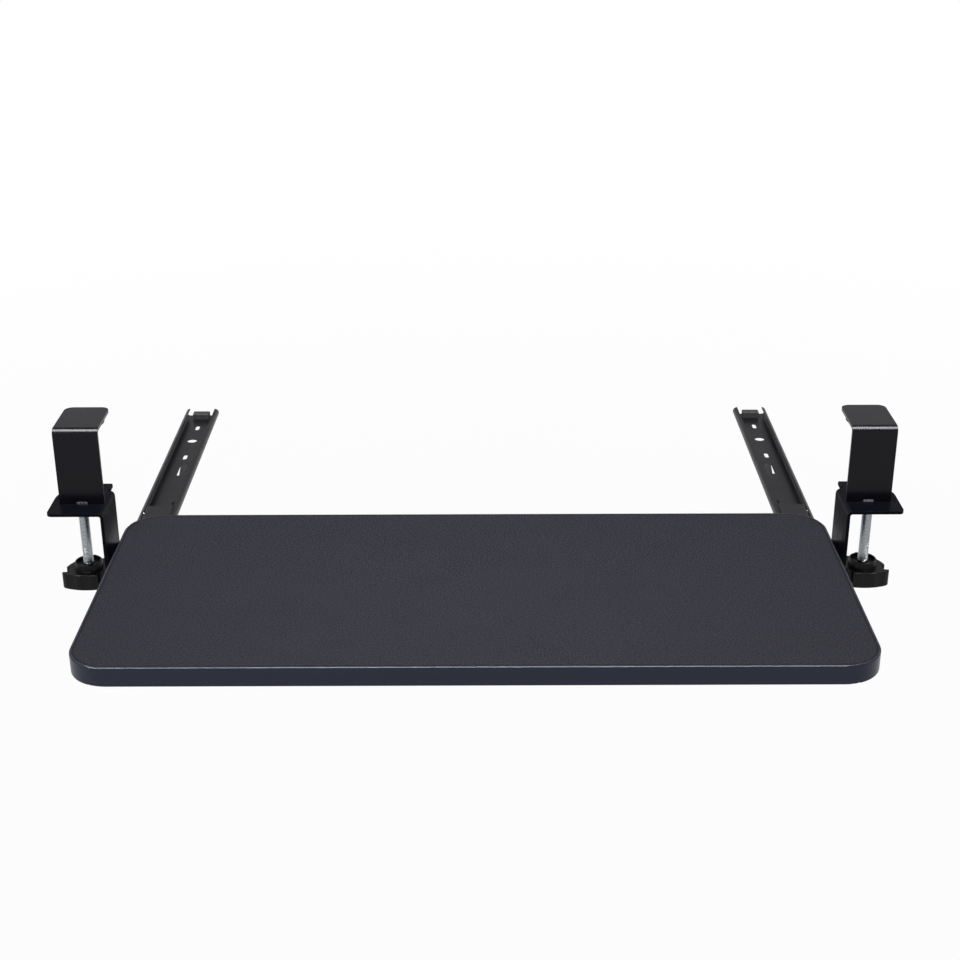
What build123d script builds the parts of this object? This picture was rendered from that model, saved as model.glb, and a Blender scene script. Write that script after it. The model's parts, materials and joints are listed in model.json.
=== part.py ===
from build123d import *
from math import degrees, sqrt
import os

# Keyboard tray that hangs under a desk's front edge on two screw clamps.
# Sizes are in millimetres. The origin is the middle of the desk's top front edge,
# with +X to the user's right, +Y away from the user under the desk, and +Z up.
# The tray is drawn fully pulled out. Right-hand pieces are modelled and mirrored.

# Desk edge between the pads
desk_thickness = 36

# Tray
tray_width = 680
tray_depth = 300
tray_thickness = 18
tray_corner_radius = 35
laminate_thickness = 0.8
band_thickness = 2
band_arris_radius = 1.2
tray_tuck = 34
tray_drop = 100.5
tray_travel = 265

# Ball-bearing slides, lying flat under the tray
slide_width = 38.5
slide_sheet = 1.2
race_radius = 4.8
rail_overhang = 3
lip_clearance = 0.4
ball_radius = 2.25
ball_play = 0.03
balls_per_side = 6
cage_sheet = 0.8
cage_floor_gap = 0.3
cage_bend_radius = 1.6
cage_side_height = 6
cage_end_margin = 6.3
cage_hole_play = 0.05
cage_window_width = 11
cage_window_length = 12
wall_foot_gap = 0.5
inner_bend_radius = 1.5
inner_nose_setback = 36
inner_tail = 60
stop_tab_width = 14
stop_tab_floor_gap = 0.4
stop_tab_rise = 2.2
stop_play = 0.5
rail_tail = 3.5
access_hole_radius = 5.5
floor_slot_length = 14
floor_slot_width = 4.6
floor_window_length = 26
floor_window_width = 8.5
floor_window_offset = 3
floor_window_share = 0.582
floor_tongue_length = 24
floor_tongue_play = 0.4
floor_tongue_droop = 25
access_hole_shares = (0.22, 0.8)
floor_slot_shares = (0.16, 0.68, 0.9)

# Rubber stop at the rear of each outer rail
stop_length = 10
stop_width = 19
stop_height = 6.8
stop_edge_radius = 1
stop_stem_radius = 2.5
stop_head_radius = 4
stop_head_height = 1.6

# Release lever behind each inner rail
lever_offset = 11
lever_width = 2
lever_height = 1.8
lever_hold = 34
lever_reach = 15
lever_pad_length = 6
lever_pad_height = 2.8
lever_edge_radius = 0.5

# Wood screws that hold the inner rails to the board
wood_screw_radius = 1.95
wood_screw_bite = 13
wood_screw_hole_play = 0.3
wood_head_radius = 3.8
wood_head_height = 2.2
wood_head_dome = 0.9
cross_recess_width = 1.1
cross_recess_length = 4
cross_recess_depth = 1.2
wood_screw_shares = (0.1, 0.42, 0.74)

# Bent sheet hanger
bracket_sheet = 3
bend_inner_radius = 2
plate_gap = 13
shelf_top_z = -72
shelf_width = 51
shelf_front_y = -26
shelf_rear_y = 46
plate_rear_y = 29
shelf_front_corner_radius = 5
shelf_rear_corner_radius = 36
shelf_inner_corner_radius = 2
relief_radius = 2
foot_overlap = 1
foot_corner_radius = 6
rail_setback = 1

# Hex-socket bolts that hold the rails to the hangers' feet
rail_bolt_radius = 2.5
rail_bolt_hole_play = 0.25
rail_bolt_pitch = 30
rail_bolt_tip_gap = 0.1
button_head_radius = 4.75
button_head_height = 2.75
button_dome_radius = 1.9
hex_key_flats = 3
hex_socket_depth = 1.8

# Welded jaw strip with its pad
strip_width = 43
strip_sheet = 3
strip_bend_radius = 3
jaw_reach = 56
jaw_corner_radius = 8
jaw_pad_thickness = 2
jaw_pad_radius = 21.5
jaw_pad_setback = 27
jaw_pad_edge_radius = 0.6
weld_length = 12
weld_leg = 2.6

# Clamp screw, nut, knob and swivelling disc
screw_offset = 28
screw_y = 22
screw_radius = 4.95
screw_tip_chamfer = 0.8
thread_play = 0.05
shelf_hole_play = 0.55
nut_flats = 17
nut_height = 8
nut_chamfer = 1.2
nut_chamfer_share = 0.58
disc_radius = 15.5
disc_rim = 1.2
disc_floor = 2
disc_rim_height = 1
pressure_pad_thickness = 2
pressure_pad_edge_radius = 0.5
boss_radius = 8
boss_height = 6.5
boss_fillet_radius = 1.5
swivel_neck_radius = 3.4
swivel_head_radius = 4.6
swivel_head_height = 2.4
swivel_play = 0.06
hub_top_z = -144.5
hub_radius = 13.2
hub_base_radius = 14
hub_height = 6.8
hub_arris_radius = 0.5
hub_recess_radius = 11.6
hub_recess_depth = 3
grip_height = 16.5
knob_plate_gap = 0.6
knob_corner_radius = 6
knob_side_radius = 50
knob_edge_radius = 1
flute_radius = 30
flute_depth = 0.8
flute_pitch = 14.5
notch_radius = 5
notch_seat = 23.2
notch_lip_radius = 1.2
notch_turn = 14
knob_dish_radius = 9
knob_dish_depth = 1

# Heights and places that follow
tray_top_z = -tray_drop
tray_bottom_z = tray_top_z - tray_thickness
tray_rear_y = tray_tuck
tray_front_y = tray_rear_y - tray_depth
tray_middle_y = tray_front_y + tray_depth / 2
rail_x = tray_width / 2 + rail_overhang - slide_width / 2
slide_stack = 2 * race_radius + lip_clearance
rail_floor_z = tray_bottom_z - slide_stack
foot_bottom_z = rail_floor_z - bracket_sheet
rail_front_y = shelf_front_y + rail_setback
inner_front_y = tray_front_y + inner_nose_setback
inner_rear_y = tray_rear_y + inner_tail
inner_length = inner_rear_y - inner_front_y
stop_front_y = inner_rear_y + tray_travel + stop_play
rail_rear_y = stop_front_y + stop_length + rail_tail
rail_length = rail_rear_y - rail_front_y
race_u = slide_width / 2 - race_radius
race_bore = race_radius - slide_sheet
ball_u = race_u + race_bore - ball_play - ball_radius
wall_face_u = race_u - lip_clearance
wall_u = wall_face_u - slide_sheet / 2
cage_floor = slide_sheet + cage_floor_gap
cage_top = cage_floor + cage_side_height
wall_foot = cage_floor + cage_sheet + wall_foot_gap
cage_front_y = rail_front_y + slide_sheet + stop_play
cage_rear_y = inner_rear_y - slide_sheet - stop_play
cage_length = cage_rear_y - cage_front_y
cage_middle_y = (cage_front_y + cage_rear_y) / 2
ball_pitch = (cage_length - 2 * cage_end_margin) / (balls_per_side - 1)
bolt_middle_y = (rail_front_y + plate_rear_y) / 2
plate_inner_x = tray_width / 2 + plate_gap
plate_outer_x = plate_inner_x + bracket_sheet
shelf_outer_x = plate_outer_x + shelf_width
foot_inner_x = rail_x - slide_width / 2 - foot_overlap
strip_inner_x = plate_outer_x
strip_x = strip_inner_x + strip_width / 2
screw_x = plate_outer_x + screw_offset
jaw_top_z = jaw_pad_thickness + strip_sheet
knob_reach = screw_x - plate_outer_x - knob_plate_gap
grip_top_z = hub_top_z - hub_height
grip_bottom_z = grip_top_z - grip_height
pad_face_z = -desk_thickness
disc_top_z = pad_face_z - pressure_pad_thickness
disc_bottom_z = disc_top_z - disc_floor
boss_bottom_z = disc_bottom_z - boss_height

# Planes along a slide: u across it, w up from the underside of its floor
rail_axis_plane = Plane(origin=(rail_x, 0, rail_floor_z), x_dir=(1, 0, 0), z_dir=(0, -1, 0))


def section_plane(rear_y):
    """Plane across the slide at its rear end, facing the user."""
    return rail_axis_plane.offset(-rear_y)


def save(piece, name):
    piece.part.label = name
    export_step(piece.part, f"parts/{name}.step")


def save_pair(piece, name):
    """Writes the right-hand piece and its mirror image on the left."""
    save(piece, f"right_{name}")
    with BuildPart() as left:
        add(mirror(piece.part, about=Plane.YZ))
    save(left, f"left_{name}")


os.makedirs("parts", exist_ok=True)


# Tray: a board with laminate on both faces and a band round its edge
def board_outline(height):
    """Outline of the board inside its edge band, at a height."""
    with BuildSketch(Plane((0, tray_middle_y, height))) as outline:
        RectangleRounded(
            tray_width - 2 * band_thickness,
            tray_depth - 2 * band_thickness,
            tray_corner_radius - band_thickness,
        )
    return outline.sketch


def wood_screw_places():
    """Plan places of the wood screws, both sides."""
    return [
        (side * rail_x, inner_front_y + inner_length * share)
        for side in (-1, 1)
        for share in wood_screw_shares
    ]


core_bottom_z = tray_bottom_z + laminate_thickness
with BuildPart() as tray_board:
    add(board_outline(core_bottom_z))
    extrude(amount=tray_thickness - 2 * laminate_thickness)
    with Locations((0, 0, core_bottom_z)):
        with Locations(*wood_screw_places()):
            Cylinder(
                wood_screw_radius,
                wood_screw_bite - laminate_thickness,
                align=(Align.CENTER, Align.CENTER, Align.MIN),
                mode=Mode.SUBTRACT,
            )
save(tray_board, "tray_board")

with BuildPart() as tray_top_laminate:
    add(board_outline(tray_top_z - laminate_thickness))
    extrude(amount=laminate_thickness)
save(tray_top_laminate, "tray_top_laminate")

with BuildPart() as tray_bottom_laminate:
    add(board_outline(tray_bottom_z))
    extrude(amount=laminate_thickness)
    with Locations((0, 0, tray_bottom_z)):
        with Locations(*wood_screw_places()):
            Hole(wood_screw_radius)
save(tray_bottom_laminate, "tray_bottom_laminate")

with BuildPart() as tray_edge_band:
    with BuildSketch(Plane((0, tray_middle_y, tray_bottom_z))):
        RectangleRounded(tray_width, tray_depth, tray_corner_radius)
    extrude(amount=tray_thickness)
    fillet(tray_edge_band.faces().filter_by(Axis.Z).edges(), band_arris_radius)
    add(board_outline(tray_bottom_z))
    extrude(amount=tray_thickness, mode=Mode.SUBTRACT)
save(tray_edge_band, "tray_edge_band")

# Outer rail: a channel with half-round races, open upwards, fixed to the hanger,
# with a tongue bent down out of a window in its floor
with BuildPart() as slide_outer:
    with BuildSketch(section_plane(rail_rear_y)):
        with BuildLine():
            race_line = race_radius - slide_sheet / 2
            ThreePointArc(
                (-race_u, race_radius + race_line),
                (-race_u - race_line, race_radius),
                (-race_u, race_radius - race_line),
            )
            Line((-race_u, race_radius - race_line), (race_u, race_radius - race_line))
            ThreePointArc(
                (race_u, race_radius - race_line),
                (race_u + race_line, race_radius),
                (race_u, race_radius + race_line),
            )
        trace(line_width=slide_sheet)
    extrude(amount=rail_length)
    with BuildSketch(Plane.XY.offset(rail_floor_z)):
        with Locations((rail_x, bolt_middle_y)):
            with GridLocations(0, rail_bolt_pitch, 1, 2):
                Circle(rail_bolt_radius)
        for share in access_hole_shares:
            with Locations((rail_x, rail_front_y + rail_length * share)):
                Circle(access_hole_radius)
        for share in floor_slot_shares:
            with Locations((rail_x, rail_front_y + rail_length * share)):
                SlotOverall(floor_slot_length, floor_slot_width, rotation=90)
        window_y = rail_front_y + rail_length * floor_window_share
        with Locations((rail_x - floor_window_offset, window_y)):
            Rectangle(floor_window_width, floor_window_length)
        with Locations((rail_x, stop_front_y + stop_length / 2)):
            Circle(stop_stem_radius)
    extrude(amount=slide_sheet, mode=Mode.SUBTRACT)
    tongue_root = (window_y + floor_window_length / 2 + slide_sheet / 2, rail_floor_z + slide_sheet / 2)
    with BuildSketch(Plane.YZ.offset(rail_x - floor_window_offset)):
        with BuildLine():
            PolarLine(tongue_root, floor_tongue_length, 180 + floor_tongue_droop)
        trace(line_width=slide_sheet)
    extrude(amount=floor_window_width / 2 - floor_tongue_play, both=True)
    with BuildSketch(section_plane(rail_front_y + slide_sheet)):
        with Locations((0, slide_sheet)):
            Rectangle(stop_tab_width, stop_tab_rise, align=(Align.CENTER, Align.MIN))
    extrude(amount=slide_sheet)
save_pair(slide_outer, "slide_outer_rail")

# Inner rail: a cap with a ball groove pressed into each wall, screwed under the board
groove_line = ball_radius + ball_play + slide_sheet / 2
groove_rise = sqrt(groove_line**2 - (ball_u - wall_u) ** 2)
web_line = slide_stack - slide_sheet / 2
with BuildPart() as slide_inner:
    with BuildSketch(section_plane(inner_rear_y)):
        with BuildLine():
            for side in (-1, 1):
                Line((side * wall_u, wall_foot), (side * wall_u, race_radius - groove_rise))
                ThreePointArc(
                    (side * wall_u, race_radius - groove_rise),
                    (side * (ball_u - groove_line), race_radius),
                    (side * wall_u, race_radius + groove_rise),
                )
                Line(
                    (side * wall_u, race_radius + groove_rise),
                    (side * wall_u, web_line - inner_bend_radius),
                )
                RadiusArc(
                    (side * wall_u, web_line - inner_bend_radius),
                    (side * (wall_u - inner_bend_radius), web_line),
                    -side * inner_bend_radius,
                )
            Line(
                (inner_bend_radius - wall_u, web_line),
                (wall_u - inner_bend_radius, web_line),
            )
        trace(line_width=slide_sheet)
    extrude(amount=inner_length)
    with BuildSketch(Plane.XY.offset(tray_bottom_z - slide_sheet)):
        for share in wood_screw_shares:
            with Locations((rail_x, inner_front_y + inner_length * share)):
                Circle(wood_screw_radius + wood_screw_hole_play)
    extrude(amount=slide_sheet, mode=Mode.SUBTRACT)
    tail_tab_foot = slide_sheet + stop_tab_floor_gap
    with BuildSketch(section_plane(inner_rear_y)):
        with Locations((0, tail_tab_foot)):
            Rectangle(
                stop_tab_width,
                slide_stack - slide_sheet - tail_tab_foot,
                align=(Align.CENTER, Align.MIN),
            )
    extrude(amount=slide_sheet)
save_pair(slide_inner, "slide_inner_rail")

# Ball cage: a thin channel with a hole for each ball, between the two rails
with BuildPart() as slide_cage:
    with BuildSketch(section_plane(cage_rear_y)):
        with BuildLine():
            FilletPolyline(
                (-ball_u, cage_top),
                (-ball_u, cage_floor + cage_sheet / 2),
                (ball_u, cage_floor + cage_sheet / 2),
                (ball_u, cage_top),
                radius=cage_bend_radius,
            )
        trace(line_width=cage_sheet)
    extrude(amount=cage_length)
    with BuildSketch(Plane.XY.offset(rail_floor_z + cage_floor)):
        with Locations((rail_x, cage_middle_y)):
            with GridLocations(0, ball_pitch, 1, balls_per_side - 1):
                Rectangle(cage_window_width, cage_window_length)
    extrude(amount=cage_sheet, mode=Mode.SUBTRACT)
    with BuildSketch(Plane.YZ.offset(rail_x)):
        with Locations((cage_middle_y, rail_floor_z + race_radius)):
            with GridLocations(ball_pitch, 0, balls_per_side, 1):
                Circle(ball_radius + cage_hole_play)
    extrude(amount=slide_width / 2, both=True, mode=Mode.SUBTRACT)
save_pair(slide_cage, "slide_ball_cage")

# Balls, sitting in the races, the grooves and the cage's holes
with BuildPart() as slide_balls:
    with Locations((rail_x, cage_middle_y, rail_floor_z + race_radius)):
        with GridLocations(2 * ball_u, ball_pitch, 2, balls_per_side):
            Sphere(ball_radius)
save_pair(slide_balls, "slide_balls")

# Rubber stop plugged into the rear of the outer rail's floor
stop_middle_y = stop_front_y + stop_length / 2
with BuildPart() as slide_stop:
    with BuildSketch(Plane.XY.offset(rail_floor_z + slide_sheet)):
        with Locations((rail_x, stop_middle_y)):
            Rectangle(stop_width, stop_length)
    extrude(amount=stop_height)
    fillet(slide_stop.edges().filter_by(Axis.Z), stop_edge_radius)
    fillet(slide_stop.faces().sort_by(Axis.Z)[-1].edges(), stop_edge_radius)
    with BuildSketch(Plane.XY.offset(rail_floor_z)):
        with Locations((rail_x, stop_middle_y)):
            Circle(stop_stem_radius)
    extrude(amount=slide_sheet)
    with BuildSketch(Plane.XY.offset(rail_floor_z)):
        with Locations((rail_x, stop_middle_y)):
            Circle(stop_head_radius)
    extrude(amount=-stop_head_height)
save_pair(slide_stop, "slide_stop")

# Release lever: a thin plastic strip under the inner rail's web, with a pad behind its end
lever_bottom = Plane.XY.offset(tray_bottom_z - slide_sheet - lever_height)
lever_tip_y = inner_rear_y + lever_reach
with BuildPart() as slide_release:
    with BuildSketch(lever_bottom):
        with Locations((rail_x - lever_offset, lever_tip_y)):
            Rectangle(lever_width, lever_hold + lever_reach, align=(Align.CENTER, Align.MAX))
    extrude(amount=lever_height)
    with BuildSketch(lever_bottom):
        with Locations((rail_x - lever_offset, lever_tip_y)):
            Rectangle(lever_width, lever_pad_length, align=(Align.CENTER, Align.MAX))
    extrude(amount=lever_pad_height)
    fillet(slide_release.edges().filter_by(Axis.Z).group_by(Axis.Y)[-1], lever_edge_radius)
save_pair(slide_release, "slide_release")

# Pan-head wood screws through the inner rail's web into the board
web_bottom = Plane.XY.offset(tray_bottom_z - slide_sheet)
head_bottom = web_bottom.offset(-wood_head_height)
with BuildPart() as tray_screws:
    for share in wood_screw_shares:
        with Locations(web_bottom):
            with Locations((rail_x, inner_front_y + inner_length * share)):
                Cylinder(
                    wood_screw_radius,
                    slide_sheet + wood_screw_bite,
                    align=(Align.CENTER, Align.CENTER, Align.MIN),
                )
        with Locations(head_bottom):
            with Locations((rail_x, inner_front_y + inner_length * share)):
                Cylinder(
                    wood_head_radius,
                    wood_head_height,
                    align=(Align.CENTER, Align.CENTER, Align.MIN),
                )
    fillet(tray_screws.edges().group_by(Axis.Z)[0], wood_head_dome)
    with BuildSketch(head_bottom):
        for share in wood_screw_shares:
            with Locations((rail_x, inner_front_y + inner_length * share)):
                Rectangle(cross_recess_width, cross_recess_length)
                Rectangle(cross_recess_length, cross_recess_width)
    extrude(amount=cross_recess_depth, mode=Mode.SUBTRACT)
save_pair(tray_screws, "tray_screws")

# Hanger: one bent sheet with a shelf outwards, a side plate and a foot inwards
sheet_middle_x = plate_inner_x + bracket_sheet / 2
shelf_middle_z = shelf_top_z - bracket_sheet / 2
shelf_bottom_z = shelf_top_z - bracket_sheet
foot_middle_z = foot_bottom_z + bracket_sheet / 2
bend_line_radius = bend_inner_radius + bracket_sheet / 2
with BuildPart() as hanger_bracket:
    with BuildSketch(Plane.XZ.offset(-shelf_rear_y)):
        with BuildLine():
            FilletPolyline(
                (foot_inner_x, foot_middle_z),
                (sheet_middle_x, foot_middle_z),
                (sheet_middle_x, shelf_middle_z),
                (shelf_outer_x, shelf_middle_z),
                radius=bend_line_radius,
            )
        trace(line_width=bracket_sheet)
    extrude(amount=shelf_rear_y - shelf_front_y)
    shelf_inner_x = plate_outer_x + bend_inner_radius
    with BuildSketch(Plane.XY.offset(foot_bottom_z)):
        with Locations((foot_inner_x, plate_rear_y)):
            Rectangle(
                shelf_inner_x - foot_inner_x,
                shelf_rear_y - plate_rear_y,
                align=(Align.MIN, Align.MIN),
            )
        with Locations((shelf_inner_x, plate_rear_y + relief_radius)):
            Circle(relief_radius)
    extrude(amount=shelf_top_z - foot_bottom_z, mode=Mode.SUBTRACT)
    upright = hanger_bracket.edges().filter_by(Axis.Z)
    shelf_outer_corners = upright.group_by(Axis.X)[-1].sort_by(Axis.Y)
    fillet(shelf_outer_corners[0], shelf_front_corner_radius)
    upright = hanger_bracket.edges().filter_by(Axis.Z)
    fillet(upright.group_by(Axis.X)[-1].sort_by(Axis.Y)[-1], shelf_rear_corner_radius)
    upright = hanger_bracket.edges().filter_by(Axis.Z)
    fillet(upright.group_by(Axis.X)[0], foot_corner_radius)
    upright = hanger_bracket.edges().filter_by(Axis.Z)
    fillet(upright.group_by(Axis.Y)[-1].sort_by(Axis.X)[0], shelf_inner_corner_radius)
    with Locations((screw_x, screw_y, shelf_top_z)):
        Hole(screw_radius + shelf_hole_play, depth=bracket_sheet)
    with Locations((rail_x, bolt_middle_y, rail_floor_z)):
        with GridLocations(0, rail_bolt_pitch, 1, 2):
            Hole(rail_bolt_radius + rail_bolt_hole_play, depth=bracket_sheet)
save_pair(hanger_bracket, "hanger_bracket")

# Hex-socket button bolts from below, threaded into the outer rail's floor
foot_bottom = Plane.XY.offset(foot_bottom_z)
with BuildPart() as rail_bolts:
    with Locations((rail_x, bolt_middle_y, foot_bottom_z)):
        with GridLocations(0, rail_bolt_pitch, 1, 2):
            Cylinder(
                rail_bolt_radius,
                bracket_sheet + slide_sheet - rail_bolt_tip_gap,
                align=(Align.CENTER, Align.CENTER, Align.MIN),
            )
            Cylinder(
                button_head_radius,
                button_head_height,
                align=(Align.CENTER, Align.CENTER, Align.MAX),
            )
    fillet(rail_bolts.edges().group_by(Axis.Z)[0], button_dome_radius)
    with BuildSketch(foot_bottom.offset(-button_head_height)):
        with Locations((rail_x, bolt_middle_y)):
            with GridLocations(0, rail_bolt_pitch, 1, 2):
                RegularPolygon(hex_key_flats / 2, 6, major_radius=False)
    extrude(amount=hex_socket_depth, mode=Mode.SUBTRACT)
save_pair(rail_bolts, "rail_bolts")

# Jaw strip: stands on the shelf and bends over the desk's top
with BuildPart() as jaw_strip:
    with BuildSketch(Plane.YZ.offset(strip_inner_x)):
        with BuildLine():
            FilletPolyline(
                (-strip_sheet / 2, shelf_top_z),
                (-strip_sheet / 2, jaw_top_z - strip_sheet / 2),
                (jaw_reach, jaw_top_z - strip_sheet / 2),
                radius=strip_bend_radius + strip_sheet / 2,
            )
        trace(line_width=strip_sheet)
    extrude(amount=strip_width)
    fillet(jaw_strip.edges().filter_by(Axis.Z).group_by(Axis.Y)[-1], jaw_corner_radius)
save_pair(jaw_strip, "jaw_strip")

# Stitch welds between the strip's foot and the shelf, in front and behind
with BuildPart() as jaw_weld:
    with BuildSketch(Plane.YZ.offset(strip_x)):
        for face_y, side in ((-strip_sheet, -1), (0, 1)):
            with BuildLine():
                Line((face_y, shelf_top_z), (face_y + side * weld_leg, shelf_top_z))
                RadiusArc(
                    (face_y + side * weld_leg, shelf_top_z),
                    (face_y, shelf_top_z + weld_leg),
                    -side * weld_leg,
                )
                Line((face_y, shelf_top_z + weld_leg), (face_y, shelf_top_z))
            make_face()
    extrude(amount=weld_length / 2, both=True)
save_pair(jaw_weld, "jaw_weld")

# Round pad glued under the jaw, resting on the desk's top
with BuildPart() as jaw_pad:
    with BuildSketch(Plane.XY):
        with Locations((strip_x, jaw_pad_setback)):
            Circle(jaw_pad_radius)
    extrude(amount=jaw_pad_thickness)
    fillet(jaw_pad.edges().group_by(Axis.Z)[0], jaw_pad_edge_radius)
save_pair(jaw_pad, "jaw_pad")

# Hexagon nut welded under the shelf
with BuildPart() as clamp_nut:
    with BuildSketch(Plane.XY.offset(shelf_bottom_z)):
        with Locations((screw_x, screw_y)):
            Circle(nut_flats / sqrt(3))
    extrude(amount=-nut_height)
    chamfer(clamp_nut.edges().group_by(Axis.Z)[0], nut_chamfer, nut_chamfer * nut_chamfer_share)
    with BuildSketch(Plane.XY.offset(shelf_bottom_z)):
        with Locations((screw_x, screw_y)):
            RegularPolygon(nut_flats / 2, 6, major_radius=False)
    extrude(amount=-nut_height, mode=Mode.INTERSECT)
    with BuildSketch(Plane.XY.offset(shelf_bottom_z)):
        with Locations((screw_x, screw_y)):
            Circle(screw_radius + thread_play)
    extrude(amount=-nut_height, mode=Mode.SUBTRACT)
save_pair(clamp_nut, "clamp_nut")

# Clamp screw: a headed swivel tip, a neck and the threaded shank down into the knob
screw_plane = Plane(origin=(screw_x, screw_y, 0), x_dir=(1, 0, 0), z_dir=(0, -1, 0))
knob_axis = Axis((screw_x, screw_y, 0), (0, 0, 1))
tip_top_z = disc_bottom_z - swivel_play
neck_top_z = tip_top_z - swivel_head_height
shank_top_z = boss_bottom_z - swivel_play
shank_bottom_z = grip_bottom_z + knob_dish_depth + knob_dish_depth
with BuildPart() as clamp_screw:
    with BuildSketch(screw_plane):
        with BuildLine():
            Polyline(
                (0, tip_top_z),
                (swivel_head_radius, tip_top_z),
                (swivel_head_radius, neck_top_z),
                (swivel_neck_radius, neck_top_z),
                (swivel_neck_radius, shank_top_z),
                (screw_radius - screw_tip_chamfer, shank_top_z),
                (screw_radius, shank_top_z - screw_tip_chamfer),
                (screw_radius, shank_bottom_z),
                (0, shank_bottom_z),
                (0, tip_top_z),
            )
        make_face()
    revolve(axis=knob_axis)
save_pair(clamp_screw, "clamp_screw")

# Swivelling disc: a steel cup for the pad, with a boss closed over the screw's tip
with BuildPart() as pressure_disc:
    with BuildSketch(screw_plane):
        with BuildLine():
            Polyline(
                (0, disc_top_z),
                (disc_radius - disc_rim, disc_top_z),
                (disc_radius - disc_rim, disc_top_z + disc_rim_height),
                (disc_radius, disc_top_z + disc_rim_height),
                (disc_radius, disc_bottom_z),
                (boss_radius + boss_fillet_radius, disc_bottom_z),
            )
            RadiusArc(
                (boss_radius + boss_fillet_radius, disc_bottom_z),
                (boss_radius, disc_bottom_z - boss_fillet_radius),
                -boss_fillet_radius,
            )
            Polyline(
                (boss_radius, disc_bottom_z - boss_fillet_radius),
                (boss_radius, boss_bottom_z),
                (swivel_neck_radius + swivel_play, boss_bottom_z),
                (swivel_neck_radius + swivel_play, neck_top_z - swivel_play),
                (swivel_head_radius + swivel_play, neck_top_z - swivel_play),
                (swivel_head_radius + swivel_play, disc_bottom_z),
                (0, disc_bottom_z),
                (0, disc_top_z),
            )
        make_face()
    revolve(axis=knob_axis)
save_pair(pressure_disc, "pressure_disc")

# Rubber pad inside the cup, pressed against the desk's underside
with BuildPart() as pressure_pad:
    with BuildSketch(Plane.XY.offset(disc_top_z)):
        with Locations((screw_x, screw_y)):
            Circle(disc_radius - disc_rim)
    extrude(amount=pressure_pad_thickness)
    fillet(pressure_pad.edges().group_by(Axis.Z)[-1], pressure_pad_edge_radius)
save_pair(pressure_pad, "pressure_pad")

# Knob: a three-sided grip with bulging, fluted sides and a finger notch beside each
# corner, under a hub that is recessed round the screw
corner_seat = knob_reach - knob_corner_radius
side_chord = knob_side_radius - knob_corner_radius
side_center = (sqrt(4 * side_chord**2 - 3 * corner_seat**2) - corner_seat) / 2
flute_center = knob_side_radius - flute_depth + flute_radius
flute_turn = degrees(flute_pitch / knob_side_radius)
notch_centers = [
    Vector(screw_x, screw_y) + Vector(notch_seat, 0).rotate(Axis.Z, notch_turn + corner)
    for corner in (-30, 90, 210)
]


def notch_distance(vertex):
    """How far a vertex of the grip's outline lies from the nearest notch circle."""
    place = Vector(vertex.X, vertex.Y)
    return min(abs((place - center).length - notch_radius) for center in notch_centers)


with BuildPart() as clamp_knob:
    with BuildSketch(Plane.XY.offset(grip_bottom_z)) as grip_outline:
        for turn in (0, 120, 240):
            with Locations((screw_x, screw_y)):
                with PolarLocations(side_center, 1, start_angle=90 + turn):
                    Circle(knob_side_radius, mode=Mode.INTERSECT if turn else Mode.ADD)
        fillet(grip_outline.vertices(), knob_corner_radius)
        with Locations(*notch_centers):
            Circle(notch_radius, mode=Mode.SUBTRACT)
        notch_lips = grip_outline.vertices().sort_by(notch_distance)[: 2 * len(notch_centers)]
        fillet(notch_lips, notch_lip_radius)
    extrude(amount=grip_height)
    fillet(clamp_knob.faces().filter_by(Axis.Z).edges(), knob_edge_radius)
    with BuildSketch(Plane.XY.offset(grip_bottom_z)):
        with Locations((screw_x, screw_y)):
            with PolarLocations(side_center, 3, start_angle=90):
                with PolarLocations(
                    flute_center, 3, 180 - flute_turn, 2 * flute_turn, endpoint=True
                ):
                    Circle(flute_radius)
    extrude(amount=grip_height, mode=Mode.SUBTRACT)
    with BuildSketch(screw_plane):
        with BuildLine():
            Polyline(
                (0, grip_top_z),
                (hub_base_radius, grip_top_z),
                (hub_radius, hub_top_z - hub_arris_radius),
            )
            RadiusArc(
                (hub_radius, hub_top_z - hub_arris_radius),
                (hub_radius - hub_arris_radius, hub_top_z),
                -hub_arris_radius,
            )
            Polyline(
                (hub_radius - hub_arris_radius, hub_top_z),
                (hub_recess_radius, hub_top_z),
                (hub_recess_radius, hub_top_z - hub_recess_depth),
                (0, hub_top_z - hub_recess_depth),
                (0, grip_top_z),
            )
        make_face()
    revolve(axis=knob_axis)
    with BuildSketch(Plane.XY.offset(shank_bottom_z)):
        with Locations((screw_x, screw_y)):
            Circle(screw_radius)
    extrude(amount=hub_top_z - shank_bottom_z, mode=Mode.SUBTRACT)
    with BuildSketch(Plane.XY.offset(grip_bottom_z)):
        with Locations((screw_x, screw_y)):
            Circle(knob_dish_radius)
    extrude(amount=knob_dish_depth, mode=Mode.SUBTRACT)
save_pair(clamp_knob, "clamp_knob")
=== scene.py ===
# Keyboard tray under a desk: finishes, threads, welds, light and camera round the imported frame.
# Everything is in metres. +X is the user's right, +Y goes under the desk, +Z is up.
import json
import math

import bmesh
import bpy
from mathutils import Matrix, Vector


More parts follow.
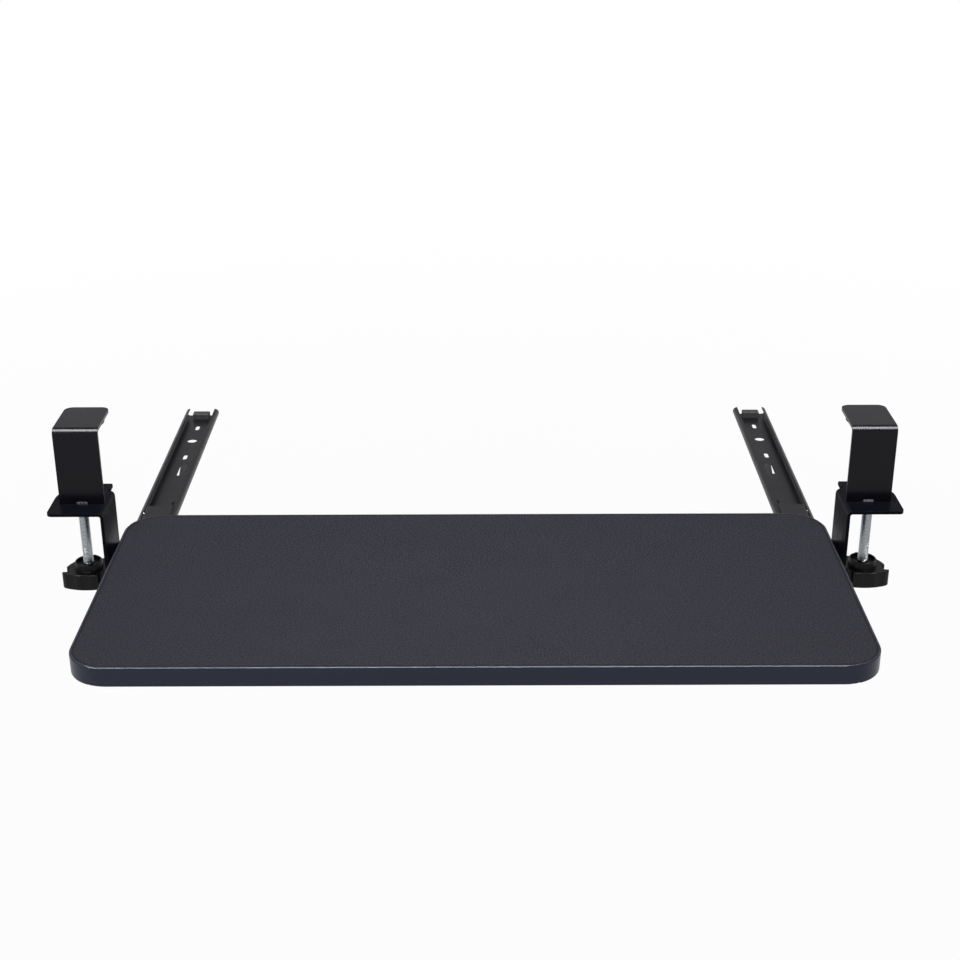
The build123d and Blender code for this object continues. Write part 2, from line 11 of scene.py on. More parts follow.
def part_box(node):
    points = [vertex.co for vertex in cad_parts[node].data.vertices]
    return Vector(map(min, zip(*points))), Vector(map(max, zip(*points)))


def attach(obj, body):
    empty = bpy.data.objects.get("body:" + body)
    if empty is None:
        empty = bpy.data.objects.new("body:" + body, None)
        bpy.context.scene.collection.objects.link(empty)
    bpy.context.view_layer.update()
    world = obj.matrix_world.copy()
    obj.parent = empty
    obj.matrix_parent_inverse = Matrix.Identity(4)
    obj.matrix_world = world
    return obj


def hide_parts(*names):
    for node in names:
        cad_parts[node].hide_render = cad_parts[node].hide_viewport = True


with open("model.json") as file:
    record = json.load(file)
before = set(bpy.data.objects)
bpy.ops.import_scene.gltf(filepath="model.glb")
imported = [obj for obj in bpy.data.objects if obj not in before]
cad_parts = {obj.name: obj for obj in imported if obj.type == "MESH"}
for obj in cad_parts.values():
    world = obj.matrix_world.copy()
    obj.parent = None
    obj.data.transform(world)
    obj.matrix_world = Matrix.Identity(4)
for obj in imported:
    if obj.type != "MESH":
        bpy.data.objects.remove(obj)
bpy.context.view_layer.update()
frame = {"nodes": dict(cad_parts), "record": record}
nodes = frame["nodes"]
sides = ("left", "right")
print("frame loaded:", len(nodes), "nodes")


# Small helpers for node trees

def addNode(tree, kind, inputs=None, **settings):
    node = tree.nodes.new(kind)
    for key, value in settings.items():
        setattr(node, key, value)
    for key, value in (inputs or {}).items():
        if isinstance(value, bpy.types.NodeSocket):
            tree.links.new(value, node.inputs[key])
        else:
            node.inputs[key].default_value = value
    return node


def mathNode(tree, operation, first, second=0.0, clamp=False):
    inputs = {0: first, 1: second}
    return addNode(tree, "ShaderNodeMath", inputs, operation=operation, use_clamp=clamp).outputs[0]


def cutRange(tree, value, low, high):  # 0 at low, 1 at high and held there beyond them
    inputs = {"Value": value, "From Min": low, "From Max": high}
    return addNode(tree, "ShaderNodeMapRange", inputs).outputs[0]


def objectPlace(tree):
    return addNode(tree, "ShaderNodeTexCoord").outputs["Object"]


def lengthOf(tree, vector):
    return addNode(tree, "ShaderNodeVectorMath", {0: vector}, operation="LENGTH").outputs["Value"]


def noiseAt(tree, place, density, detail, **more):
    inputs = {"Vector": place, "Scale": density, "Detail": detail, **more}
    return addNode(tree, "ShaderNodeTexNoise", inputs).outputs["Fac"]


def spread(tree, mask, low, high):  # a 0 to 1 mask stretched between two values
    return addNode(tree, "ShaderNodeMapRange", {"Value": mask, "To Min": low, "To Max": high}).outputs[0]


def blendColours(tree, mask, first, second):
    mix = addNode(tree, "ShaderNodeMix", {0: mask}, data_type="RGBA")
    for socket, colour in ((mix.inputs[6], first), (mix.inputs[7], second)):
        if isinstance(colour, bpy.types.NodeSocket):
            tree.links.new(colour, socket)
        else:
            socket.default_value = (*colour, 1)
    return mix.outputs[2]


def newGroup(name, inputs, outputs):
    tree = bpy.data.node_groups.new(name, "ShaderNodeTree")
    for label, value in inputs.items():
        socket = tree.interface.new_socket(label, in_out="INPUT", socket_type="NodeSocketFloat")
        socket.default_value = value
    for label, kind in outputs.items():
        tree.interface.new_socket(label, in_out="OUTPUT", socket_type=kind)
    return tree, tree.nodes.new("NodeGroupInput").outputs, tree.nodes.new("NodeGroupOutput").inputs


def useGroup(tree, group, inputs):
    node = addNode(tree, "ShaderNodeGroup", node_tree=group)
    for key, value in inputs.items():
        node.inputs[key].default_value = value
    return node.outputs


# Effects that several finishes share

pebbles = {
    "smoothness": 0.6,
    "cellShare": -0.7,  # the middle of each cell stands up
    "detail": 3.0,
    "roughness": 0.6,
    "speckleRange": (0.36, 0.64),
    "mottleDetail": 4.0,
}


def makePebbleGrain():  # rounded pebbles of a laminate or a moulded texture
    outputs = {label: "NodeSocketFloat" for label in ("Height", "Speckle", "Mottle")}
    tree, given, out = newGroup("pebbleGrain", {"Size": 0.001, "Mottle Size": 0.02}, outputs)
    place = objectPlace(tree)
    density = mathNode(tree, "DIVIDE", 1.0, given["Size"])
    inputs = {"Vector": place, "Scale": density, "Smoothness": pebbles["smoothness"]}
    cells = addNode(tree, "ShaderNodeTexVoronoi", inputs, feature="SMOOTH_F1")
    fine = noiseAt(tree, place, density, pebbles["detail"], Roughness=pebbles["roughness"])
    domes = mathNode(tree, "MULTIPLY", cells.outputs["Distance"], pebbles["cellShare"])
    tree.links.new(mathNode(tree, "ADD", domes, fine), out["Height"])
    tree.links.new(cutRange(tree, fine, *pebbles["speckleRange"]), out["Speckle"])
    broadDensity = mathNode(tree, "DIVIDE", 1.0, given["Mottle Size"])
    broad = noiseAt(tree, place, broadDensity, pebbles["mottleDetail"])
    tree.links.new(broad, out["Mottle"])
    return tree


wearAndHighlight = {
    "gain": 9.0,  # how fast a turned normal counts as an edge
    "bevelSamples": 6,
    "patchDetail": 4.0,
}


def makeEdgeWearAndHighlight():  # softens sharp arrises for the light and says where they are
    tree, given, out = newGroup("edgeWearAndHighlight", {"Radius": 0.0004, "Patch Size": 0.006},
                                {"Normal": "NodeSocketVector", "Edge": "NodeSocketFloat"})
    rounded = addNode(tree, "ShaderNodeBevel", {"Radius": given["Radius"]}, samples=wearAndHighlight["bevelSamples"])
    flat = addNode(tree, "ShaderNodeNewGeometry")
    facing = addNode(tree, "ShaderNodeVectorMath", {0: rounded.outputs[0], 1: flat.outputs["Normal"]},
                     operation="DOT_PRODUCT")
    turned = mathNode(tree, "SUBTRACT", 1.0, facing.outputs["Value"], clamp=True)
    density = mathNode(tree, "DIVIDE", 1.0, given["Patch Size"])
    patch = noiseAt(tree, objectPlace(tree), density, wearAndHighlight["patchDetail"])
    # this edge mask carries rubbed wear and painted highlights on the arrises
    wornAndHighlit = mathNode(tree, "MULTIPLY", mathNode(tree, "MULTIPLY", turned, wearAndHighlight["gain"]), patch, clamp=True)
    tree.links.new(rounded.outputs[0], out["Normal"])
    tree.links.new(wornAndHighlit, out["Edge"])
    return tree


rolling = {
    "detail": 5.0,
    "streakRange": (0.35, 0.68),
}


def makeRollMarks():  # long faint lines left by cold rolling or drawing, along Y
    tree, given, out = newGroup("rollMarks", {"Spacing": 0.0006, "Stretch": 0.02},
                                {"Height": "NodeSocketFloat", "Streak": "NodeSocketFloat"})
    pulled = addNode(tree, "ShaderNodeCombineXYZ", {"X": 1.0, "Y": given["Stretch"], "Z": 1.0})
    stretched = addNode(tree, "ShaderNodeVectorMath", {0: objectPlace(tree), 1: pulled.outputs[0]},
                        operation="MULTIPLY")
    density = mathNode(tree, "DIVIDE", 1.0, given["Spacing"])
    lines = noiseAt(tree, stretched.outputs[0], density, rolling["detail"])
    tree.links.new(lines, out["Height"])
    tree.links.new(cutRange(tree, lines, *rolling["streakRange"]), out["Streak"])
    return tree


hemming = {
    "samples": 8,
    "openRange": (0.8, 0.35),  # shares of open sky at which the grime and painted shade begin and are full
}


def makeRootGrimeAndShade():  # grime and painted shade where a surface is hemmed in, as in the roots of a thread
    tree, given, out = newGroup("rootGrimeAndShade", {"Reach": 0.001}, {"Hemmed": "NodeSocketFloat"})
    light = addNode(tree, "ShaderNodeAmbientOcclusion", {"Distance": given["Reach"]},
                    samples=hemming["samples"])
    tree.links.new(cutRange(tree, light.outputs["AO"], *hemming["openRange"]), out["Hemmed"])
    return tree


handled = {
    "detail": 6.0,
    "roughness": 0.65,
    "distortion": 0.8,
    "dulledRange": (0.4, 0.7),
}


def makeHandling():  # where hands and dust have dulled a surface, in soft patches
    tree, given, out = newGroup("handling", {"Patch Size": 0.05}, {"Dulled": "NodeSocketFloat"})
    density = mathNode(tree, "DIVIDE", 1.0, given["Patch Size"])
    cloud = noiseAt(tree, objectPlace(tree), density, handled["detail"], Roughness=handled["roughness"],
                    Distortion=handled["distortion"])
    tree.links.new(cutRange(tree, cloud, *handled["dulledRange"]), out["Dulled"])
    return tree


rimEdgeShare = 0.6  # the line is full over this share of its width, then fades


def makeRimLine():  # a line just inside the border of a board with rounded corners
    sizes = {"Half Width": 0.3, "Half Depth": 0.15, "Middle Y": 0.0, "Corner": 0.03, "Line": 0.002}
    tree, given, out = newGroup("rimLine", sizes, {"Mask": "NodeSocketFloat"})
    split = addNode(tree, "ShaderNodeSeparateXYZ", {0: objectPlace(tree)}).outputs
    across = mathNode(tree, "ABSOLUTE", split["X"])
    along = mathNode(tree, "ABSOLUTE", mathNode(tree, "SUBTRACT", split["Y"], given["Middle Y"]))
    flatWidth = mathNode(tree, "SUBTRACT", given["Half Width"], given["Corner"])
    flatDepth = mathNode(tree, "SUBTRACT", given["Half Depth"], given["Corner"])
    pastX = mathNode(tree, "SUBTRACT", across, flatWidth)
    pastY = mathNode(tree, "SUBTRACT", along, flatDepth)
    corner = addNode(tree, "ShaderNodeCombineXYZ", {"X": mathNode(tree, "MAXIMUM", pastX, 0.0),
                                                    "Y": mathNode(tree, "MAXIMUM", pastY, 0.0)})
    reach = lengthOf(tree, corner.outputs[0])
    within = mathNode(tree, "MINIMUM", mathNode(tree, "MAXIMUM", pastX, pastY), 0.0)
    depth = mathNode(tree, "SUBTRACT", given["Corner"], mathNode(tree, "ADD", reach, within))
    fullTo = mathNode(tree, "MULTIPLY", given["Line"], rimEdgeShare)
    tree.links.new(cutRange(tree, depth, given["Line"], fullTo), out["Mask"])
    return tree


pebbleGrain = makePebbleGrain()
edgeWearAndHighlight = makeEdgeWearAndHighlight()
rollMarks = makeRollMarks()
handling = makeHandling()
rimLine = makeRimLine()
rootGrimeAndShade = makeRootGrimeAndShade()


def newMaterial(name, specular):
    material = bpy.data.materials.new(name)
    material.use_nodes = True
    tree = material.node_tree
    shader = tree.nodes["Principled BSDF"]
    shader.inputs["Specular IOR Level"].default_value = specular
    return material, tree, shader.inputs


def bumpOn(tree, height, distance, strength, normal=None):
    inputs = {"Height": height, "Distance": distance, "Strength": strength}
    if normal is not None:
        inputs["Normal"] = normal
    return addNode(tree, "ShaderNodeBump", inputs).outputs[0]


def connect(tree, shader, colour, roughness, normal):
    for label, value in (("Base Color", colour), ("Roughness", roughness), ("Normal", normal)):
        tree.links.new(value, shader[label])


# Finishes

laminateTop = {
    "dark": (0.0095, 0.0095, 0.0145),
    "light": (0.055, 0.054, 0.0745),
    "grainSize": 0.0015,
    "grainDepth": 0.00006,
    "bump": 0.8,
    "mottleSize": 0.05,
    "touchPatch": 0.15,
    "speckleShare": 0.85,
    "mottleShare": 0.15,
    "dull": 0.69,
    "shiny": 0.62,
    "specular": 0.05,
    "seamShade": (0.008, 0.008, 0.0105),  # the joint with the edge band, darkened by painted shade
    "seamShadeShare": 0.8,
    "seamShadeWidth": 0.0022,
    "cornerRadius": 0.033,
}


def makeLaminate(name, finish):
    material, tree, shader = newMaterial(name, finish["specular"])
    grain = useGroup(tree, pebbleGrain, {"Size": finish["grainSize"], "Mottle Size": finish["mottleSize"]})
    touched = useGroup(tree, handling, {"Patch Size": finish["touchPatch"]})
    tone = mathNode(tree, "ADD", mathNode(tree, "MULTIPLY", grain["Speckle"], finish["speckleShare"]),
                    mathNode(tree, "MULTIPLY", grain["Mottle"], finish["mottleShare"]), clamp=True)
    low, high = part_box("tray_top_laminate")
    rim = useGroup(tree, rimLine, {
        "Half Width": (high[0] - low[0]) / 2,
        "Half Depth": (high[1] - low[1]) / 2,
        "Middle Y": (high[1] + low[1]) / 2,
        "Corner": finish["cornerRadius"],
        "Line": finish["seamShadeWidth"],
    })
    # painted shade: a dark line just inside the rim stands in for the shadow of the joint with the band
    seamShade = mathNode(tree, "MULTIPLY", rim["Mask"], finish["seamShadeShare"])
    surface = blendColours(tree, tone, finish["dark"], finish["light"])
    connect(tree, shader, blendColours(tree, seamShade, surface, finish["seamShade"]),
            spread(tree, touched["Dulled"], finish["dull"], finish["shiny"]),
            bumpOn(tree, grain["Height"], finish["grainDepth"], finish["bump"]))
    return material


laminateBack = dict(laminateTop, dark=(0.03, 0.03, 0.035), light=(0.04, 0.04, 0.046),
                    grainSize=0.0007, grainDepth=0.00002, dull=0.6, shiny=0.52)

bandFinish = {
    "base": (0.046, 0.052, 0.088),
    # the rubbed colour is partly a painted highlight line along the band's arrises
    "rubbedAndHighlight": (0.1, 0.102, 0.125),
    "edgeRadius": 0.0003,
    "wearAndHighlightPatch": 0.008,
    "touchPatch": 0.04,
    "grainSize": 0.0006,
    "grainDepth": 0.00001,
    "bump": 0.7,
    "roughness": (0.3, 0.42),
    "specular": 0.17,
    "wearAndHighlight": 0.6,
}

knobFinish = dict(bandFinish, base=(0.0045, 0.0048, 0.0062), rubbedAndHighlight=(0.04, 0.04, 0.045), edgeRadius=0.0004,
                  grainSize=0.0004, grainDepth=0.00002, roughness=(0.34, 0.46), specular=0.16, wearAndHighlight=0.4)
leverFinish = dict(knobFinish, base=(0.012, 0.012, 0.014), grainSize=0.0003, wearAndHighlight=0.2)
rubberFinish = dict(bandFinish, base=(0.014, 0.014, 0.015), rubbedAndHighlight=(0.04, 0.04, 0.041), grainSize=0.0005,
                    grainDepth=0.00004, roughness=(0.72, 0.86), specular=0.3, wearAndHighlight=0.5)

powderCoat = {  # baked paint with an orange-peel skin, thinner on the arrises, where its paler colour is partly a painted highlight
    "base": (0.0078, 0.008, 0.0138),
    "rubbedAndHighlight": (0.03, 0.03, 0.035),
    "edgeRadius": 0.0004,
    "wearAndHighlightPatch": 0.01,
    "touchPatch": 0.03,
    "grainSize": 0.0011,
    "grainDepth": 0.00001,
    "bump": 0.6,
    "roughness": (0.2, 0.3),
    "specular": 0.15,
    "wearAndHighlight": 0.35,
}

weldCoat = dict(powderCoat, rubbedAndHighlight=(0.04, 0.04, 0.045), specular=0.05, roughness=(0.3, 0.4))
hangerCoat = dict(powderCoat, specular=0.02, roughness=(0.3, 0.4))
boltBlack = dict(powderCoat, base=(0.012, 0.012, 0.013), rubbedAndHighlight=(0.07, 0.07, 0.07), grainSize=0.0008,
                 edgeRadius=0.0002, roughness=(0.3, 0.45))


def makeSkin(name, finish):  # a fine even grain over one colour, paler on the arrises from rubbed wear and a painted highlight
    material, tree, shader = newMaterial(name, finish["specular"])
    grain = useGroup(tree, pebbleGrain, {"Size": finish["grainSize"]})
    edge = useGroup(tree, edgeWearAndHighlight, {"Radius": finish["edgeRadius"], "Patch Size": finish["wearAndHighlightPatch"]})
    touched = useGroup(tree, handling, {"Patch Size": finish["touchPatch"]})
    # paler arrises: rubbed wear and a painted highlight
    wornAndHighlit = mathNode(tree, "MULTIPLY", edge["Edge"], finish["wearAndHighlight"])
    connect(tree, shader, blendColours(tree, wornAndHighlit, finish["base"], finish["rubbedAndHighlight"]),
            spread(tree, touched["Dulled"], *finish["roughness"]),
            bumpOn(tree, grain["Height"], finish["grainDepth"], finish["bump"], edge["Normal"]))
    return material


railCoat = {
    "base": (0.0105, 0.0105, 0.015),
    "streak": (0.0175, 0.0175, 0.023),
    "spacing": 0.0007,
    "stretch": 0.015,
    "depth": 0.000008,
    "bump": 0.5,
    "streakShare": 0.6,
    "edgeShare": 0.6,
    "edgeRadius": 0.0002,
    "wearAndHighlightPatch": 0.01,
    "touchPatch": 0.025,
    "roughness": (0.3, 0.4),
    "specular": 0.18,
    "metallic": 0.0,
}


def makeRolledSteel(name, finish):  # cold-rolled or drawn steel under a thin coat
    material, tree, shader = newMaterial(name, finish["specular"])
    marks = useGroup(tree, rollMarks, {"Spacing": finish["spacing"], "Stretch": finish["stretch"]})
    edge = useGroup(tree, edgeWearAndHighlight, {"Radius": finish["edgeRadius"], "Patch Size": finish["wearAndHighlightPatch"]})
    touched = useGroup(tree, handling, {"Patch Size": finish["touchPatch"]})
    tone = mathNode(tree, "ADD", mathNode(tree, "MULTIPLY", marks["Streak"], finish["streakShare"]),
                    mathNode(tree, "MULTIPLY", edge["Edge"], finish["edgeShare"]), clamp=True)
    shader["Metallic"].default_value = finish["metallic"]
    connect(tree, shader, blendColours(tree, tone, finish["base"], finish["streak"]),
            spread(tree, touched["Dulled"], *finish["roughness"]),
            bumpOn(tree, marks["Height"], finish["depth"], finish["bump"], edge["Normal"]))
    return material


cageZinc = dict(railCoat, base=(0.42, 0.43, 0.45), streak=(0.55, 0.56, 0.58), metallic=1.0,
                roughness=(0.28, 0.42), specular=0.5)
ballSteel = dict(railCoat, base=(0.62, 0.62, 0.64), streak=(0.7, 0.7, 0.71), metallic=1.0,
                 roughness=(0.2, 0.32), specular=0.5, depth=0.000002)

zincPlate = {
    "clear": (0.8, 0.845, 0.88),
    "cloudy": (0.62, 0.655, 0.68),
    # grime and painted shade in the thread roots
    "grimeAndShade": (0.05, 0.055, 0.06),
    "grimeAndShadeReach": 0.0012,
    "spotSize": 0.0016,
    "mottleSize": 0.006,
    "edgeRadius": 0.00015,
    "wearAndHighlightPatch": 0.004,
    "edgeShare": 0.4,
    "roughness": (0.26, 0.4),
    "specular": 0.5,
    "depth": 0.000012,
    "bump": 0.5,
}


def makeZincPlate(name, finish):  # electroplated zinc, slightly clouded
    material, tree, shader = newMaterial(name, finish["specular"])
    shader["Metallic"].default_value = 1.0
    grain = useGroup(tree, pebbleGrain, {"Size": finish["spotSize"], "Mottle Size": finish["mottleSize"]})
    edge = useGroup(tree, edgeWearAndHighlight, {"Radius": finish["edgeRadius"], "Patch Size": finish["wearAndHighlightPatch"]})
    grimeAndShade = useGroup(tree, rootGrimeAndShade, {"Reach": finish["grimeAndShadeReach"]})
    bare = mathNode(tree, "MULTIPLY", edge["Edge"], finish["edgeShare"])
    cloud = mathNode(tree, "SUBTRACT", grain["Mottle"], bare, clamp=True)
    plate = blendColours(tree, cloud, finish["clear"], finish["cloudy"])
    # the thread roots are darkened: grime and painted shade
    connect(tree, shader, blendColours(tree, grimeAndShade["Hemmed"], plate, finish["grimeAndShade"]),
            spread(tree, grain["Speckle"], *finish["roughness"]),
            bumpOn(tree, grain["Height"], finish["depth"], finish["bump"], edge["Normal"]))
    return material


boardFibre = {
    "dark": (0.20, 0.135, 0.08),
    "light": (0.38, 0.27, 0.165),
    "fibreSize": 0.0009,
    "mottleSize": 0.01,
    "depth": 0.00008,
    "bump": 0.8,
    "roughness": (0.8, 0.92),
    "specular": 0.25,
}


def makeFibreboard(name, finish):  # pressed wood fibres
    material, tree, shader = newMaterial(name, finish["specular"])
    grain = useGroup(tree, pebbleGrain, {"Size": finish["fibreSize"], "Mottle Size": finish["mottleSize"]})
    connect(tree, shader, blendColours(tree, grain["Speckle"], finish["dark"], finish["light"]),
            spread(tree, grain["Mottle"], *finish["roughness"]),
            bumpOn(tree, grain["Height"], finish["depth"], finish["bump"]))
    return material


woodScrewZinc = dict(zincPlate, clear=(0.6, 0.62, 0.64), spotSize=0.001)

finishes = {
    "grey_laminate": makeLaminate("greyLaminate", laminateTop),
    "backing_laminate": makeLaminate("backingLaminate", laminateBack),
    "edge_band": makeSkin("edgeBand", bandFinish),
    "board_core": makeFibreboard("fibreboard", boardFibre),
    "black_steel": makeSkin("blackPowderCoat", powderCoat),
    "black_bolt": makeSkin("blackBolt", boltBlack),
    "black_rail": makeRolledSteel("blackRail", railCoat),
    "zinc_cage": makeRolledSteel("zincCage", cageZinc),
    "ball_steel": makeRolledSteel("bearingSteel", ballSteel),
    "zinc_screw": makeZincPlate("zincPlate", zincPlate),
    "wood_screw": makeZincPlate("zincScrew", woodScrewZinc),
    "knob_plastic": makeSkin("knobPlastic", knobFinish),
    "lever_plastic": makeSkin("leverPlastic", leverFinish),
    "rubber": makeSkin("rubber", rubberFinish),
}
weldPaint = makeSkin("weldPaint", weldCoat)
hangerPaint = makeSkin("hangerPaint", hangerCoat)
for part in frame["record"]["subparts"]:
    for slot in nodes[part["node"]].material_slots:
        slot.material = finishes[part["material_slot"]]
for side in sides:  # the hangers' coat is flatter than the jaws'
    for slot in nodes[f"{side}_hanger_bracket"].material_slots:
        slot.material = hangerPaint
print("finishes:", len(finishes), "on", len(nodes), "nodes")


# Mesh pieces

mergeDistance = 1e-7


def makePiece(name, mesh, body, replaced, slot, sharpAngle):
    bmesh.ops.remove_doubles(mesh, verts=mesh.verts, dist=mergeDistance)
    bmesh.ops.recalc_face_normals(mesh, faces=mesh.faces)
    data = bpy.data.meshes.new(name)
    mesh.to_mesh(data)
    mesh.free()
    data.shade_smooth()
    data.set_sharp_from_angle(angle=math.radians(sharpAngle))
    data.materials.append(finishes[slot])
    piece = bpy.data.objects.new(name, data)
    bpy.context.scene.collection.objects.link(piece)
    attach(piece, body)
    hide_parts(replaced)
    return piece


clampScrew = {
    "pitch": 0.0015,
    "rootDepth": 0.00088,  # crest to root
    "crestShare": 0.14,
    "rootShare": 0.22,
    "steps": 36,  # round the circle
    "headRadius": 0.0046,
    "headHeight": 0.0024,
    "neckRadius": 0.0034,
    "shoulderRise": 0.0001,
    "discGap": 0.0002,  # between the shoulder and the pressure disc
    "intoKnob": 0.003,  # how far the thread runs on inside the hub
    "sharpAngle": 32,
}


def ringAt(mesh, centre, radius, height, steps):
    angles = [2 * math.pi * i / steps for i in range(steps)]
    places = [(radius * math.cos(angle), radius * math.sin(angle)) for angle in angles]
    return [mesh.verts.new((centre.x + x, centre.y + y, height)) for x, y in places]


def joinRings(mesh, lower, upper):
    count = len(lower)
    for i in range(count):
        mesh.faces.new((lower[i], lower[(i + 1) % count], upper[(i + 1) % count], upper[i]))


def makeClampScrew(side):  # a right-hand thread from the knob's hub up to the swivelling tip
    low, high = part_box(f"{side}_clamp_screw")
    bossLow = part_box(f"{side}_pressure_disc")[0]
    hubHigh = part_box(f"{side}_clamp_knob")[1]
    centre = (Vector(low) + Vector(high)) / 2
    crest = (high[0] - low[0]) / 2
    root = crest - clampScrew["rootDepth"]
    pitch = clampScrew["pitch"]
    steps = clampScrew["steps"]
    crestShare = clampScrew["crestShare"]
    flank = (1 - crestShare - clampScrew["rootShare"]) / 2
    profile = ((0, 0), (flank, 1), (flank + crestShare, 1), (2 * flank + crestShare, 0), (1, 0))
    startZ = hubHigh[2] - clampScrew["intoKnob"]
    endZ = bossLow[2] - clampScrew["discGap"]
    turns = int((endZ - startZ) / pitch) - 1
    count = turns * steps
    mesh = bmesh.new()
    columns = []
    for i in range(count + 1):
        angle = 2 * math.pi * i / steps
        swell = min(1, i / steps, (count - i) / steps)  # the thread fades in and out over one turn
        column = []
        for share, height in profile:
            radius = root + (crest - root) * height * swell
            z = startZ + pitch * (i / steps + share)
            place = (centre.x + radius * math.cos(angle), centre.y + radius * math.sin(angle), z)
            column.append(mesh.verts.new(place))
        columns.append(column)
    for first, second in zip(columns, columns[1:]):
        for k in range(len(profile) - 1):
            mesh.faces.new((first[k], second[k], second[k + 1], first[k + 1]))
    under = [column[0] for column in columns[:steps + 1]]
    over = [column[-1] for column in columns[-steps - 1:]]
    footRing = ringAt(mesh, centre, root, startZ, steps)
    for i in range(1, steps - 1):
        mesh.faces.new((footRing[i], footRing[i + 1], under[i + 1], under[i]))
    mesh.faces.new((under[0], footRing[1], under[1]))
    mesh.faces.new((footRing[-1], *columns[0][:-1], under[-1], under[-2]))
    topZ = over[-1].co.z
    capRing = ringAt(mesh, centre, root, topZ, steps)
    for i in range(1, steps - 1):
        mesh.faces.new((over[i], over[i + 1], capRing[i + 1], capRing[i]))
    mesh.faces.new((over[steps - 1], over[steps], capRing[-1]))
    mesh.faces.new((over[0], over[1], capRing[1], *reversed(columns[-1][1:])))
    neckLow = high[2] - clampScrew["headHeight"]
    rings = [ringAt(mesh, centre, radius, height, steps) for radius, height in (
        (root, topZ),
        (root, endZ - clampScrew["shoulderRise"]),
        (clampScrew["neckRadius"], endZ),
        (clampScrew["neckRadius"], neckLow),
        (clampScrew["headRadius"], neckLow),
        (clampScrew["headRadius"], high[2]),
    )]
    for lower, upper in zip(rings, rings[1:]):
        joinRings(mesh, lower, upper)
    mesh.faces.new(rings[-1])
    foot = ringAt(mesh, centre, root, startZ, steps)
    shank = ringAt(mesh, centre, root, low[2], steps)
    joinRings(mesh, shank, foot)
    mesh.faces.new(shank)
    makePiece(f"{side}ThreadedScrew", mesh, f"{side}_clamp_handle", f"{side}_clamp_screw", "zinc_screw",
              clampScrew["sharpAngle"])


weldBead = {
    "length": 0.012,
    "leg": 0.0026,
    "rippleCount": 9,
    "rippleDepth": 0.00028,
    "taper": 0.0022,
    "stations": 73,
    "arcSteps": 8,
    "endShare": 0.18,  # of the leg that is left at the bead's ends
    "flattening": 0.16,  # of the bead's round face, at its middle
    "sharpAngle": 40,
}


def makeWelds(side):  # rippled fillet beads in front of and behind the strip's foot
    low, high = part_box(f"{side}_jaw_strip")
    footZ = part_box(f"{side}_jaw_weld")[0][2]
    weldLow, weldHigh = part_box(f"{side}_jaw_weld")
    middleX = (low[0] + high[0]) / 2
    frontY = weldLow[1] + weldBead["leg"]
    backY = weldHigh[1] - weldBead["leg"]
    mesh = bmesh.new()
    for faceY, outwards in ((frontY, -1), (backY, 1)):
        rows = []
        for i in range(weldBead["stations"]):
            share = i / (weldBead["stations"] - 1)
            x = middleX + weldBead["length"] * (share - 0.5)
            fromEnd = min(share, 1 - share) * weldBead["length"]
            taper = math.sqrt(max(0, 1 - (1 - min(1, fromEnd / weldBead["taper"])) ** 2))
            phase = (share * weldBead["rippleCount"]) % 1
            ripple = weldBead["rippleDepth"] * (1 - phase) ** 2
            leg = weldBead["leg"] * (weldBead["endShare"] + (1 - weldBead["endShare"]) * taper)
            row = [mesh.verts.new((x, faceY, footZ))]
            for k in range(weldBead["arcSteps"] + 1):
                angle = math.pi / 2 * k / weldBead["arcSteps"]
                reach = leg - ripple * math.sin(2 * angle) * taper
                reach *= 1 - weldBead["flattening"] * math.sin(2 * angle)
                y = faceY + outwards * reach * math.cos(angle)
                row.append(mesh.verts.new((x, y, footZ + reach * math.sin(angle))))
            rows.append(row)
        for first, second in zip(rows, rows[1:]):
            for k in range(len(first)):
                following = (k + 1) % len(first)
                mesh.faces.new((first[k], second[k], second[following], first[following]))
        mesh.faces.new(rows[0])
        mesh.faces.new(rows[-1])
    beads = makePiece(f"{side}WeldBeads", mesh, "hanger", f"{side}_jaw_weld", "black_steel",
                      weldBead["sharpAngle"])
    beads.data.materials[0] = weldPaint


for side in sides:
    makeClampScrew(side)
    makeWelds(side)
print("threads and welds made")


# Floor, light and camera

studio = {
    "floorHeight": -0.73,  # a desk's height below the clamps
    "floorSize": 60,
    "floorColour": (0.86, 0.86, 0.865),
    "floorRoughness": 0.9,
    "worldStrength": 0.42,
    "ceiling": 0.3,  # how pale the studio is straight up, beside white at the horizon
    "ceilingFrom": 0.02,  # heights on the unit sphere between which it turns
    "ceilingTo": 0.52,
    "shadowReach": 1.2,  # where the floor's shadow begins to fade
    "shadowEnd": 3.6,
    "glowNear": 0.965,  # how much of the floor near the object is plain white
}

lamps = {
    "overheadSoftbox": {"place": (0.0, -0.05, 0.75), "size": (0.5, 0.5), "power": 4.2},
    "glossStrip": {"place": (0.0, -0.45, 1.6), "size": (2.4, 1.1), "power": 310, "diffuse": False},
    "frontFill": {"place": (-1.6, -1.9, 0.9), "size": (1.4, 1.4), "power": 7},
}


def seenRays(tree):  # camera, glossy and transmission rays see the pale background
    path = addNode(tree, "ShaderNodeLightPath").outputs
    seen = mathNode(tree, "MAXIMUM", path["Is Camera Ray"], path["Is Glossy Ray"])
    return mathNode(tree, "MAXIMUM", seen, path["Is Transmission Ray"])


def makeWorld():  # white walls that turn grey towards the ceiling
    world = bpy.data.worlds.new("studio")
    bpy.context.scene.world = world
    world.use_nodes = True
    tree = world.node_tree
    background = tree.nodes["Background"]
    sphere = addNode(tree, "ShaderNodeTexCoord").outputs["Generated"]
    height = addNode(tree, "ShaderNodeSeparateXYZ", {0: sphere}).outputs["Z"]
    above = cutRange(tree, height, studio["ceilingFrom"], studio["ceilingTo"])
    ceiling = (studio["ceiling"],) * 3
    tree.links.new(blendColours(tree, above, (1, 1, 1), ceiling), background.inputs["Color"])
    strength = spread(tree, seenRays(tree), studio["worldStrength"], 1.0)
    tree.links.new(strength, background.inputs["Strength"])


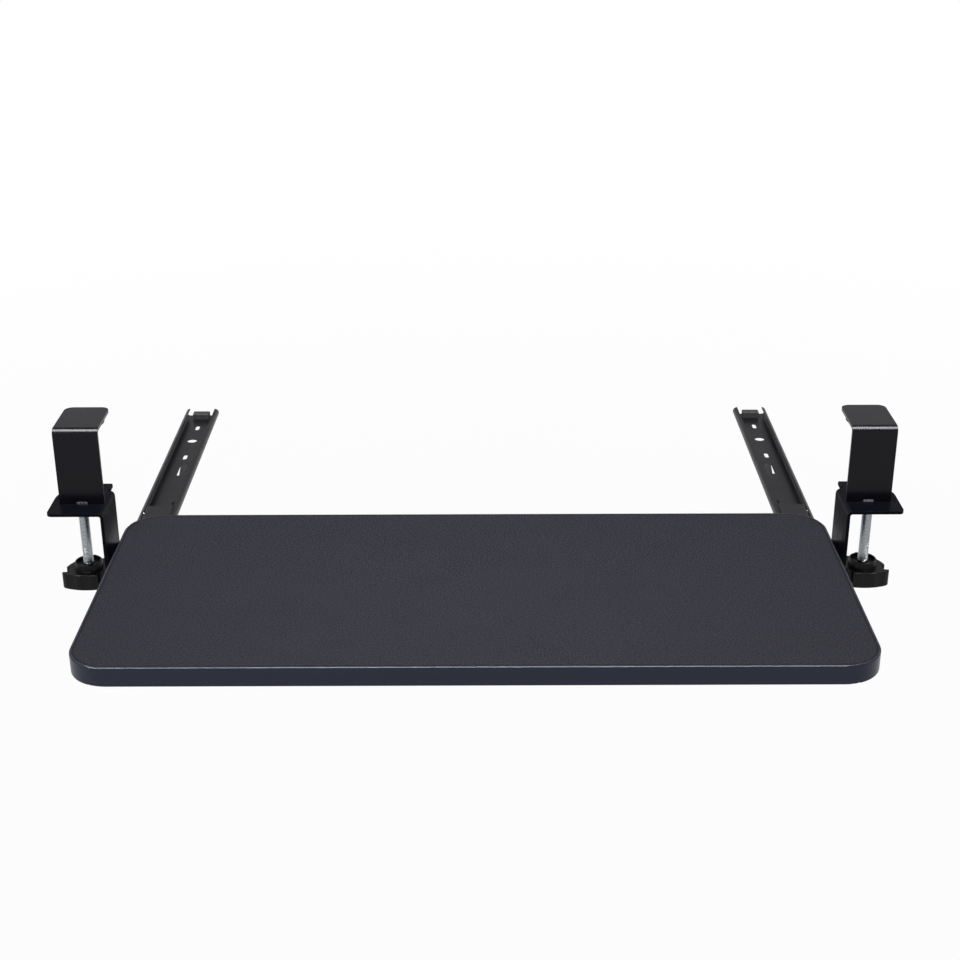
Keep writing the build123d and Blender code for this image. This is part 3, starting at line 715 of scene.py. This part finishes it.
def makeFloor():
    mesh = bmesh.new()
    bmesh.ops.create_grid(mesh, x_segments=1, y_segments=1, size=studio["floorSize"] / 2)
    data = bpy.data.meshes.new("floor")
    mesh.to_mesh(data)
    mesh.free()
    floor = bpy.data.objects.new("floor", data)
    floor.location.z = studio["floorHeight"]
    bpy.context.scene.collection.objects.link(floor)
    material = bpy.data.materials.new("floorPaint")
    material.use_nodes = True
    tree = material.node_tree
    shader = tree.nodes["Principled BSDF"]
    shader.inputs["Base Color"].default_value = (*studio["floorColour"], 1)
    shader.inputs["Roughness"].default_value = studio["floorRoughness"]
    glow = addNode(tree, "ShaderNodeEmission", {"Color": (1, 1, 1, 1), "Strength": 1.0})
    faded = cutRange(tree, lengthOf(tree, objectPlace(tree)), studio["shadowReach"], studio["shadowEnd"])
    share = mathNode(tree, "MULTIPLY", seenRays(tree), spread(tree, faded, studio["glowNear"], 1.0))
    mix = addNode(tree, "ShaderNodeMixShader", {0: share, 1: shader.outputs[0], 2: glow.outputs[0]})
    tree.links.new(mix.outputs[0], tree.nodes["Material Output"].inputs["Surface"])
    data.materials.append(material)


def makeAreaLight(name, place, size, power, diffuse=True):
    data = bpy.data.lights.new(name, "AREA")
    data.shape = "RECTANGLE"
    data.size, data.size_y = size
    data.energy = power
    light = bpy.data.objects.new(name, data)
    light.location = place
    light.rotation_euler = (-Vector(place)).to_track_quat("-Z", "Y").to_euler()
    light.visible_diffuse = diffuse
    bpy.context.scene.collection.objects.link(light)


view = {
    "focalLength": 60.93,
    "sensorWidth": 36,
    "pitch": 23.574,
    "roll": -0.183,
    "place": (0.0046, -1.4244, 0.5722),
}


def makeCamera():
    data = bpy.data.cameras.new("camera")
    data.sensor_width = view["sensorWidth"]
    data.lens = view["focalLength"]
    camera = bpy.data.objects.new("camera", data)
    tilt = Matrix.Rotation(math.radians(90 - view["pitch"]), 4, "X")
    roll = Matrix.Rotation(math.radians(view["roll"]), 4, "Z")
    camera.matrix_world = Matrix.Translation(view["place"]) @ tilt @ roll
    bpy.context.scene.collection.objects.link(camera)
    bpy.context.scene.camera = camera


makeWorld()
makeFloor()
for name, lamp in lamps.items():
    makeAreaLight(name, **lamp)
makeCamera()
bpy.context.scene.view_settings.view_transform = "Standard"
print("studio ready")
